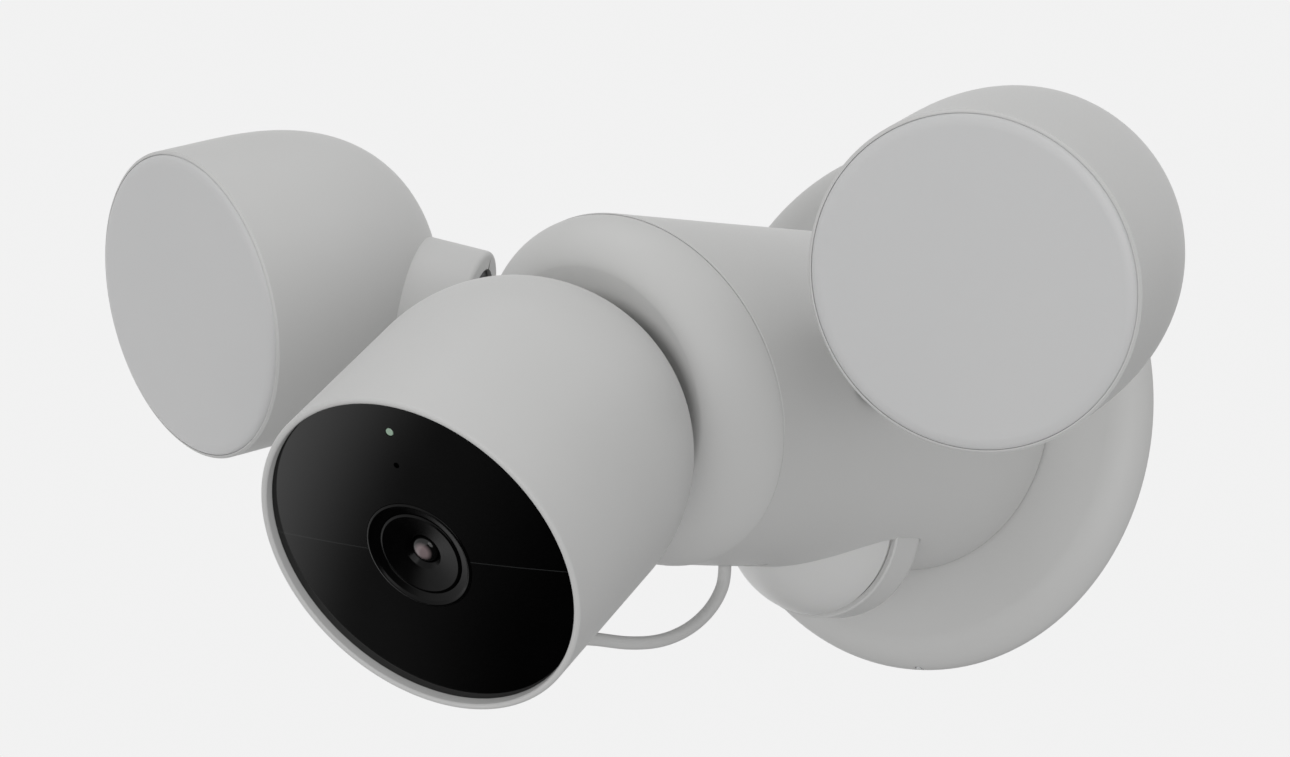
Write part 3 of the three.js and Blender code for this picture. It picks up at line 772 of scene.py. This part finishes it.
def add_bracket():
    rim = BRACKET_RADIUS - BRACKET_SHEET
    pan = [
        (0, 0),
        (BRACKET_RADIUS, 0),
        (BRACKET_RADIUS, -BRACKET_LIP),
        (rim, -BRACKET_LIP),
        (rim, -BRACKET_SHEET),
        (0, -BRACKET_SHEET),
    ]
    slots = [placed(block(*SLOT_SIZE, (SLOT_X * side, 0, 0))) for side in (-1, 1)]
    wire_hole = rod(WIRE_HOLE_RADIUS, -4, 4, along((0, 0, WIRE_HOLE_Z), (0, 1, 0)))
    stand_for(cut(placed(lathe(softened(pan, 0.7))), wire_hole, *slots), "wall_bracket")


def add_gasket():
    outer = GASKET_RADIUS + GASKET_WIDTH
    front = WALL_GAP - PLATE_BACK
    gasket = [(GASKET_RADIUS, 0), (GASKET_RADIUS, front), (outer, front), (outer, 0)]
    stand_for(placed(lathe(gasket)), "wall_gasket")


def add_base_plate():
    edge = PLATE_RADIUS - PLATE_EDGE_WIDTH
    height = PLATE_DEPTH - PLATE_BACK
    shell = [
        *arc(edge, -PLATE_BACK, PLATE_EDGE_WIDTH, height, 0, -90, 28),
        (PLATE_HOLE, -PLATE_DEPTH),
        (PLATE_HOLE, -PLATE_DEPTH + PLATE_WALL),
        *arc(edge, -PLATE_BACK, PLATE_EDGE_WIDTH - PLATE_WALL, height - PLATE_WALL, -90, 0, 12),
    ]
    down = along((0, RETAINING_SCREW_Y, 0), (0, 0, -1))
    holes = screw_holes()
    side_hole = rod(RETAINING_HOLE_RADIUS, 55, 70, down)
    stand_for(cut(placed(lathe(shell)), side_hole, *holes), "base_plate")


# ---- barrel ----


def barrel_radius_at(depth):
    share = (depth - BARREL_START) / (-SEAM_CENTRE.y - BARREL_START)
    return BARREL_RADIUS + (BARREL_FRONT_RADIUS - BARREL_RADIUS) * share


def seam_y(z, back):
    """Where the oblique seam plane, moved back by a distance, meets a height z."""
    return SEAM_CENTRE.y + back / math.cos(SEAM_TILT) - (z - SEAM_CENTRE.z) * math.tan(SEAM_TILT)


def barrel_tube():
    """The barrel's wall, whose front edge lies in the seam plane with a small bevel."""
    front = -130.0
    bevel = 0.25
    back_wall = 3
    ring_depths = (40, 70, 95)
    outer = barrel_radius_at(-SEAM_CENTRE.y)
    profile = [
        (PLATE_HOLE, -BARREL_START),
        (BARREL_RADIUS - bevel, -BARREL_START),
        (BARREL_RADIUS, -BARREL_START - bevel),
        *((barrel_radius_at(depth), -depth) for depth in ring_depths),
        (outer, front),
        (outer - bevel, front - 1),
        (outer - BARREL_WALL, front - 1),
        (outer - BARREL_WALL, -ring_depths[-1]),
        (BARREL_RADIUS - BARREL_WALL, -BARREL_START - back_wall),
        (PLATE_HOLE, -BARREL_START - back_wall),
    ]
    made = lathe(profile)
    for vertex in made.verts:
        if vertex.co.y <= front:
            back = SEAM_HALF_GAP + (bevel if vertex.co.y > front - 0.5 else 0)
            vertex.co.y = seam_y(vertex.co.z, back)
    return made


def collar_outline(extra):
    """The sensor collar's outside from its open front to the middle of its back, grown by a clearance."""
    flat = SENSOR_COLLAR_RADIUS - SENSOR_COLLAR_CORNER
    corner = SENSOR_COLLAR_CORNER + extra
    return [
        (SENSOR_COLLAR_RADIUS + extra, -extra),
        *arc(flat, SENSOR_COLLAR_DEPTH - SENSOR_COLLAR_CORNER, corner, corner, 0, 90, 12),
        (0, SENSOR_COLLAR_DEPTH + extra),
    ]


def sensor_lens_profile(extra, steps):
    """The sensor lens's front from its tip to its widest ring, grown by a clearance."""
    reach = SENSOR_LENS_RADIUS + extra
    curve = super_arc(reach, SENSOR_LENS_DEPTH + extra, SENSOR_LENS_ROUNDNESS, steps)
    return [(radius, -WALL_GAP - height) for radius, height in reversed(curve)]


def add_barrel():
    here = along(SENSOR_CENTRE, (0, 1, 0))
    cable_hole = along((0, CABLE_EXIT_Y, 0), (0, 0, -1))
    underside_hole = along((0, UNDERSIDE_HOLE_Y, 0), UNDERSIDE_HOLE_DIRECTION)
    through_wall = (30, 50)
    lens_clearance = 0.15
    arm_clearance = 0.4
    tools = [
        placed(lathe([*sensor_lens_profile(lens_clearance, 60), (0, 4)], 96), here),
        placed(lathe([(0, -FINE_GAP), *collar_outline(FINE_GAP)], 96), here),
        rod(CABLE_RADIUS + WALL_GAP, *through_wall, cable_hole),
        rod(UNDERSIDE_HOLE_RADIUS, *through_wall, underside_hole),
    ]
    for side in ("left", "right"):
        ball = for_side(joint_ball, side)
        inward = along(ball, for_side(ARM_DIRECTION, side, -1))
        tools.append(rod(SPIGOT_RADIUS + arm_clearance, 0, 60, inward))
    stand_for(cut(placed(barrel_tube()), *tools, *screw_holes()), "barrel_shell")


def axis_ended(profile):
    """The profile with its first and last points put on the axis."""
    return [(0, profile[0][1]), *profile[1:-1], (0, profile[-1][1])]


def smooth_max(a, b, width):
    """The larger of two numbers, eased where they cross over a width."""
    ease = max(width - abs(a - b), 0) / width
    return max(a, b) + ease * ease * width / 4


def cap_surface(share, angle):
    """A point on the cap's front in its own frame. Share runs from the edge at the seam to the middle."""
    face_radius = BARREL_FRONT_RADIUS - CAP_INSET
    rim_share = 0.45
    dish_softness = 1.6
    if share < rim_share:
        turn = share / rim_share * math.pi / 2
        rim = CAP_INSET * max(math.cos(turn), 0) ** (2 / CAP_ROUNDNESS)
        radius = face_radius + rim
        y = -SEAM_HALF_GAP - CAP_HEIGHT * math.sin(turn) ** (2 / CAP_ROUNDNESS)
    else:
        radius = face_radius * (1 - (share - rim_share) / (1 - rim_share))
        y = -SEAM_HALF_GAP - CAP_HEIGHT
    x = radius * math.cos(angle)
    z = radius * math.sin(angle) / math.cos(SEAM_TILT) - y * math.tan(SEAM_TILT)
    inside = DISH_RADIUS**2 - x**2 - (z - BALL_LIFT) ** 2
    dish = -BALL_REACH + math.sqrt(max(inside, 0))
    return Vector((x, smooth_max(y, dish, dish_softness), z))


def add_cap():
    """The cap's rim turns over into a ball dish with a soft edge. Its inside is a smaller copy of that."""
    steps = 72
    thickening = 4
    made = bmesh.new()
    outer = []
    for i in range(steps):
        angles = [2 * math.pi * k / SEGMENTS for k in range(SEGMENTS)]
        outer.append([made.verts.new(cap_surface(i / steps, angle)) for angle in angles])
    outer.append([made.verts.new(cap_surface(1, 0))])
    shrink = (BARREL_FRONT_RADIUS - BARREL_WALL) / BARREL_FRONT_RADIUS
    inner = []
    for ring in outer:
        copies = []
        for vertex in ring:
            x, y, z = vertex.co
            inward = min(1, (-SEAM_HALF_GAP - y) / thickening) * BARREL_WALL
            copies.append(made.verts.new((x * shrink, y + inward, z * shrink)))
        inner.append(copies)
    for rings in (outer, inner):
        for first, second in zip(rings, rings[1:]):
            join_rings(made, first, second, SEGMENTS)
    join_rings(made, outer[0], inner[0], SEGMENTS)
    bmesh.ops.recalc_face_normals(made, faces=made.faces)
    stand_for(placed(made, cap_frame), "front_cap")


# ---- motion sensor ----


def above_sensor():
    """A tool that takes away what would stand inside the barrel."""
    size = 60
    return placed(block(size, 240, size, (0, 0, SENSOR_TOP + size / 2)))


def add_sensor():
    here = along(SENSOR_CENTRE, (0, 1, 0))
    bevel = 0.4
    inner = SENSOR_COLLAR_RADIUS - SENSOR_WALL
    outline = collar_outline(0)
    collar = [
        (0, SENSOR_COLLAR_DEPTH - SENSOR_WALL),
        (inner - SENSOR_COLLAR_CORNER, SENSOR_COLLAR_DEPTH - SENSOR_WALL),
        (inner, SENSOR_COLLAR_DEPTH - SENSOR_COLLAR_CORNER),
        (inner, 0),
        (SENSOR_COLLAR_RADIUS - bevel, 0),
        (SENSOR_COLLAR_RADIUS, bevel),
        *outline[1:],
    ]
    stand_for(cut(placed(lathe(collar), here), above_sensor()), "sensor_collar")

    tail = inner - WALL_GAP
    groove = 1.3
    tail_end = 4
    lens = [
        *[(radius, y) for radius, y in sensor_lens_profile(0, 60) if y < -WALL_GAP - groove],
        (tail - 0.3, -WALL_GAP - groove),
        (tail, -WALL_GAP),
        (tail, tail_end),
        (tail - SENSOR_WALL, tail_end),
        *reversed(sensor_lens_profile(-SENSOR_WALL, 32)),
    ]
    stand_for(cut(placed(lathe(lens), here), above_sensor()), "sensor_lens")


# ---- camera head ----


def button_place():
    return Vector((0, math.cos(BUTTON_ANGLE), -math.sin(BUTTON_ANGLE))) * HEAD_RADIUS


def at_head(centre, direction=(0, 1, 0)):
    return head_frame @ along(centre, direction)


def add_head_shell():
    inner = HEAD_RADIUS - HEAD_WALL
    nose_r = HEAD_RIM_RADIUS - HEAD_NOSE
    nose_y = -HEAD_FRONT + HEAD_NOSE
    seat = GLASS_RADIUS + FINE_GAP
    shell = axis_ended([
        *arc(0, 0, inner, inner, 90, 0, 40),
        (seat, -GLASS_EDGE + GLASS_DEPTH),
        (seat, -GLASS_EDGE),
        *arc(nose_r, nose_y, HEAD_NOSE, HEAD_NOSE, 200, 360, 16),
        *arc(0, 0, HEAD_RADIUS, HEAD_RADIUS, 0, 90, 64),
    ])
    places = [at_head((x, SPEAKER_Y, -HEAD_RADIUS), (0, 0, -1)) for x in SPEAKER_HOLES_X]
    holes = [rod(SPEAKER_HOLE_RADIUS, -6, 6, place, 24) for place in places]
    port = rod(PORT_RADIUS, -12, 6, at_head(PORT_IN_HEAD, PORT_DIRECTION))
    button = rod(BUTTON_RADIUS + WALL_GAP, -6, 6, at_head(button_place(), button_place()))
    stand_for(cut(placed(lathe(shell), head_frame), port, button, *holes), "head_shell")


def glass_y(radius):
    """How far forward the glass stands at a distance from its middle."""
    return -GLASS_EDGE - GLASS_CROWN * (1 - (radius / GLASS_RADIUS) ** 2)


def add_face():
    """The bulging black glass with its light, its microphone hole and the fine line across it."""
    back = -GLASS_EDGE + GLASS_DEPTH
    inner = LENS_RING_RADIUS + FINE_GAP
    steps = 24
    radii = [inner + (GLASS_RADIUS - inner) * i / steps for i in range(steps + 1)]
    glass = [(inner, back), *((radius, glass_y(radius)) for radius in radii), (GLASS_RADIUS, back)]
    through = (-45, -30)
    light_hole = rod(LIGHT_HOLE_RADIUS, *through, at_head((0, 0, LIGHT_UP)))
    sound_hole = rod(SOUND_HOLE_RADIUS, *through, at_head((0, 0, SOUND_UP)), 24)
    stand_for(cut(placed(lathe(glass), head_frame), light_hole, sound_hole), "front_glass")

    front = glass_y(LIGHT_UP)
    light_back = -34
    bevel = 0.15
    light = [
        (0, front),
        (LIGHT_RADIUS - bevel, front),
        (LIGHT_RADIUS, front + bevel),
        (LIGHT_RADIUS, light_back),
        (0, light_back),
    ]
    stand_for(placed(lathe(light, SMALL_SEGMENTS), at_head((0, 0, LIGHT_UP))), "status_light")


def add_optics():
    """The ring round the camera lens, the black dish behind it and the lens."""
    front = glass_y(LENS_RING_RADIUS)
    ring = [
        (LENS_DISH_RADIUS + FINE_GAP, front + 5),
        (LENS_DISH_RADIUS + FINE_GAP, front + 0.7),
        (LENS_RING_RADIUS - 1.2, front + 0.2),
        (LENS_RING_RADIUS - 0.6, front - 0.3),
        (LENS_RING_RADIUS, front - 0.1),
        (LENS_RING_RADIUS, front + 5),
    ]
    stand_for(placed(lathe(softened(ring, 0.3)), head_frame), "lens_ring")
    dish = [
        (6, front + 5),
        (LENS_DISH_RADIUS, front + 5),
        (LENS_DISH_RADIUS, front + 0.6),
        (LENS_DISH_RADIUS - 0.6, front + 0.4),
        (4.6, front + 1.6),
        (3.5, front + 2.6),
        (3.5, front + 6),
        (6, front + 6),
    ]
    stand_for(placed(lathe(softened(dish, 0.25)), head_frame), "lens_funnel")
    dome = arc(0, front + LENS_SUNK, LENS_RADIUS, LENS_DOME, -90, 0, 16)
    back = front + 12
    lens = [(0, dome[0][1]), *dome[1:], (LENS_RADIUS, back), (0, back)]
    stand_for(placed(lathe(lens, 64), head_frame), "camera_lens")


def add_head_fittings():
    inner = HEAD_RADIUS - HEAD_WALL
    top = 2.6
    flange = [(0, -2), (BUTTON_FLANGE, -2), (BUTTON_FLANGE, -1)]
    button = [*flange, (BUTTON_RADIUS, -1), (BUTTON_RADIUS, top), (0, top)]
    place = at_head(button_place().normalized() * (inner - 1.2), button_place())
    stand_for(placed(lathe(softened(button, 0.4), SMALL_SEGMENTS), place), "reset_button")

    plug = [(0, -7), (PLUG_RADIUS, -7), (PLUG_RADIUS, PLUG_PROUD), (0, PLUG_PROUD)]
    place = at_head(PORT_IN_HEAD, PORT_DIRECTION)
    stand_for(placed(lathe(softened(plug, 0.6), SMALL_SEGMENTS), place), "cable_plug")


def add_grommet():
    grommet = [(0, 0), (GROMMET_RADIUS, 0), (GROMMET_RADIUS, GROMMET_LENGTH), (0, GROMMET_LENGTH)]
    place = along((0, CABLE_EXIT_Y, CABLE_START_Z + WALL_GAP), (0, 0, 1))
    stand_for(placed(lathe(softened(grommet, 0.5), SMALL_SEGMENTS), place), "cable_grommet")


# ---- lamps ----


def add_arm(side):
    ball = for_side(joint_ball, side)
    inward = along(ball, for_side(ARM_DIRECTION, side, -1))
    stud = axis_ended([
        *arc(0, 0, ARM_BALL_RADIUS, ARM_BALL_RADIUS, -90, 53, 40),
        (STUD_STEM_RADIUS, ARM_START - WALL_GAP),
        (0, ARM_START - WALL_GAP),
    ])
    stand_for(cut(placed(lathe(stud, 96), inward), rod(ARM_BORE, -20, 30, inward)), f"{side}_ball_stud")

    bevel = 0.8
    flare_width = 6
    arm_end = ARM_FLARE + 20
    sleeve = [
        (ARM_BORE, ARM_START),
        (ARM_RADIUS - bevel, ARM_START),
        (ARM_RADIUS, ARM_START + bevel),
        (ARM_RADIUS, ARM_FLARE),
        *arc(ARM_RADIUS + flare_width, ARM_FLARE, flare_width, 9, 180, 110, 24),
        (ARM_RADIUS + 4, arm_end),
        (ARM_BORE, arm_end),
    ]
    barrel = rod(BARREL_RADIUS + WALL_GAP, -140, 0, WORLD, SEGMENTS)
    start = ARM_FLARE + 2
    end = ARM_FLARE + 17
    spigot_outline = [(ARM_BORE, start), (SPIGOT_RADIUS, start), (SPIGOT_RADIUS, end), (ARM_BORE, end)]
    spigot = placed(lathe(spigot_outline, 64), inward)
    arm = cut(placed(lathe(sleeve, 96), inward), barrel)
    stand_for(combine(arm, "UNION", spigot), f"{side}_arm")


def dome_profile(wall, steps):
    points = super_arc(LAMP_RADIUS - wall, LAMP_DOME - wall, LAMP_ROUNDNESS, steps)
    return [(radius, LAMP_STRAIGHT + height) for radius, height in points]


def add_lamp(side):
    aim = LAMP_AIM[side]
    ball = for_side(joint_ball, side)
    lamp_frame = turned(ball, aim["down"], aim["roll"], aim["yaw"])
    neck = lamp_frame @ along((0, 0, 0), for_side(NECK_IN_LAMP, side, -1))
    face_centre = for_side(BALL_IN_LAMP, side)
    face = lamp_frame @ along((face_centre.x, -BALL_IN_LAMP.y, -BALL_IN_LAMP.z), (0, 1, 0))

    seat = ARM_BALL_RADIUS + WALL_GAP
    socket = [
        (SOCKET_BORE, SOCKET_START),
        (NECK_BORE - FINE_GAP, SOCKET_START),
        (NECK_BORE - FINE_GAP, NECK_END - 1),
        (seat, NECK_END - 1),
        *arc(0, 0, seat, seat, 12, -74, 40),
    ]
    stand_for(placed(lathe(socket, 96), neck), f"{side}_socket")

    bevel = 0.5
    body = [(0, 0), (LAMP_RADIUS - bevel, 0), (LAMP_RADIUS, bevel), *dome_profile(0, 72)]
    rim = LAMP_RADIUS - LAMP_RIM
    hollow = [(0, -1), (rim, -1), (rim, 6), *dome_profile(LAMP_WALL, 40)]
    tube_end = [(0, NECK_START), (NECK_RADIUS, NECK_START), (NECK_RADIUS, NECK_END), (0, NECK_END)]
    floor = SOCKET_START - WALL_GAP
    bore = [(0, floor), (NECK_BORE, floor), (NECK_BORE, 12), (0, 12)]
    housing = cut(placed(lathe(body), face), placed(lathe(hollow), face))
    combine(housing, "UNION", placed(lathe(softened(tube_end, 1.4, 8), 96), neck))
    wire_hole = rod(SOCKET_BORE + 1, -30, 0, neck)
    cut(housing, placed(lathe(bore, 96), neck), wire_hole)
    stand_for(housing, f"{side}_lamp_housing")

    flat = COVER_RADIUS - COVER_EDGE
    crown = 0.5
    bulge = 0.9
    steps = 24
    inner = COVER_RADIUS - 2
    back = 5
    cover = [
        *((flat * i / steps, -bulge - crown * (1 - (i / steps) ** 2)) for i in range(steps)),
        *arc(flat, COVER_SUNK, COVER_EDGE, COVER_SUNK + bulge, -90, 0, 16),
        (COVER_RADIUS, back),
        (inner, back),
        (inner, 2.4),
        (0, 1),
    ]
    stand_for(placed(lathe(cover), face), f"{side}_lens_cover")


# ---- studio ----

# Sizes and places in metres. Each stop is how far a direction agrees, from -1 to 1, and a strength.
BACKDROP = 0.885
FLOOR_DROP = 6.0
STUDIO_RADIUS = 9.0
SKY_DIRECTION = (-0.45, -0.15, 0.88)
SKY_STOPS = ((-0.44, 0.0), (-0.28, 0.08), (-0.12, 1.1), (1.0, 0.8))
WORLD_STOPS = ((-1.0, 0.50), (0.0, 0.56), (1.0, 0.66))
LIGHT_SIZE = 1.8
LIGHT_TARGET = Vector((0, -0.1, 0))


def glowing(name, strength):
    """A white glow, and the shader that makes it."""
    material = bpy.data.materials.new(name)
    material.use_nodes = True
    tree = material.node_tree
    tree.nodes.clear()
    shader = tree.nodes.new("ShaderNodeEmission")
    shader.inputs["Strength"].default_value = strength
    output = tree.nodes.new("ShaderNodeOutputMaterial")
    tree.links.new(shader.outputs["Emission"], output.inputs["Surface"])
    return material, shader


def graded(tree, coordinate, direction, stops, target):
    """Drives a strength by how far a coordinate points in a direction."""
    dot = tree.nodes.new("ShaderNodeVectorMath")
    dot.operation = "DOT_PRODUCT"
    dot.inputs[1].default_value = Vector(direction).normalized()
    tree.links.new(coordinate, dot.inputs[0])
    share = tree.nodes.new("ShaderNodeMapRange")
    share.inputs["From Min"].default_value = -1
    share.inputs["From Max"].default_value = 1
    tree.links.new(dot.outputs["Value"], share.inputs["Value"])
    ramp = tree.nodes.new("ShaderNodeValToRGB")
    ramp.color_ramp.interpolation = "EASE"
    elements = ramp.color_ramp.elements
    while len(elements) < len(stops):
        elements.new(0.5)
    for element, (where, strength) in zip(elements, stops):
        element.position = (where + 1) / 2
        element.color = (strength, strength, strength, 1)
    tree.links.new(share.outputs["Result"], ramp.inputs["Fac"])
    tree.links.new(ramp.outputs["Color"], target)


def add_studio():
    """A pale floor that curves up into a wall all round, and the dome that glossy surfaces reflect."""
    radius = STUDIO_RADIUS / MM
    bend = radius * 0.3
    top = 2 * radius
    profile = [(0, 0), *arc(radius - bend, bend, bend, bend, -90, 0, 24), (radius, top), (0, top)]
    floor = placed(lathe(profile, 96), along((0, 0, -FLOOR_DROP / MM), (0, 0, 1)), "studio_floor")
    floor.data.materials.append(glowing("studio_white", BACKDROP)[0])
    floor.visible_glossy = False
    sky_radius = radius / 3
    ball = axis_ended(arc(0, 0, sky_radius, sky_radius, -90, 90, 48))
    sky = placed(lathe(ball, 96), WORLD, "studio_sky")
    material, shader = glowing("studio_glow", 1)
    tree = material.node_tree
    away = tree.nodes.new("ShaderNodeVectorMath")
    away.operation = "NORMALIZE"
    tree.links.new(tree.nodes.new("ShaderNodeTexCoord").outputs["Object"], away.inputs[0])
    graded(tree, away.outputs["Vector"], SKY_DIRECTION, SKY_STOPS, shader.inputs["Color"])
    sky.data.materials.append(material)
    sky.visible_camera = False
    for piece in (floor, sky):
        piece.visible_diffuse = False
        piece.visible_transmission = False
        piece.visible_shadow = False
        for polygon in piece.data.polygons:
            polygon.use_smooth = True


def add_light(name, place, power):
    data = bpy.data.lights.new(name, "AREA")
    data.shape = "DISK"
    data.size = LIGHT_SIZE
    data.energy = power
    light = bpy.data.objects.new(name, data)
    bpy.context.scene.collection.objects.link(light)
    light.location = place
    light.rotation_mode = "QUATERNION"
    light.rotation_quaternion = (LIGHT_TARGET - Vector(place)).to_track_quat("-Z", "Y")
    light.visible_camera = False


def add_lights():
    world = bpy.data.worlds.new("world")
    bpy.context.scene.world = world
    world.use_nodes = True
    tree = world.node_tree
    background = tree.nodes["Background"]
    background.inputs["Strength"].default_value = 1
    direction = tree.nodes.new("ShaderNodeTexCoord").outputs["Generated"]
    graded(tree, direction, (0, 0, 1), WORLD_STOPS, background.inputs["Color"])
    add_light("key_light", place=(-0.3, -0.8, 2.3), power=9)
    add_light("fill_light", place=(1.5, -2.2, -0.5), power=18)


bpy.context.scene.view_settings.view_transform = "Standard"
add_camera()
make_materials()
add_cable()
add_bracket()
add_gasket()
add_base_plate()
add_barrel()
add_cap()
add_sensor()
add_head_shell()
add_face()
add_optics()
add_head_fittings()
add_grommet()
for lamp_side in ("left", "right"):
    add_arm(lamp_side)
    add_lamp(lamp_side)
add_studio()
add_lights()
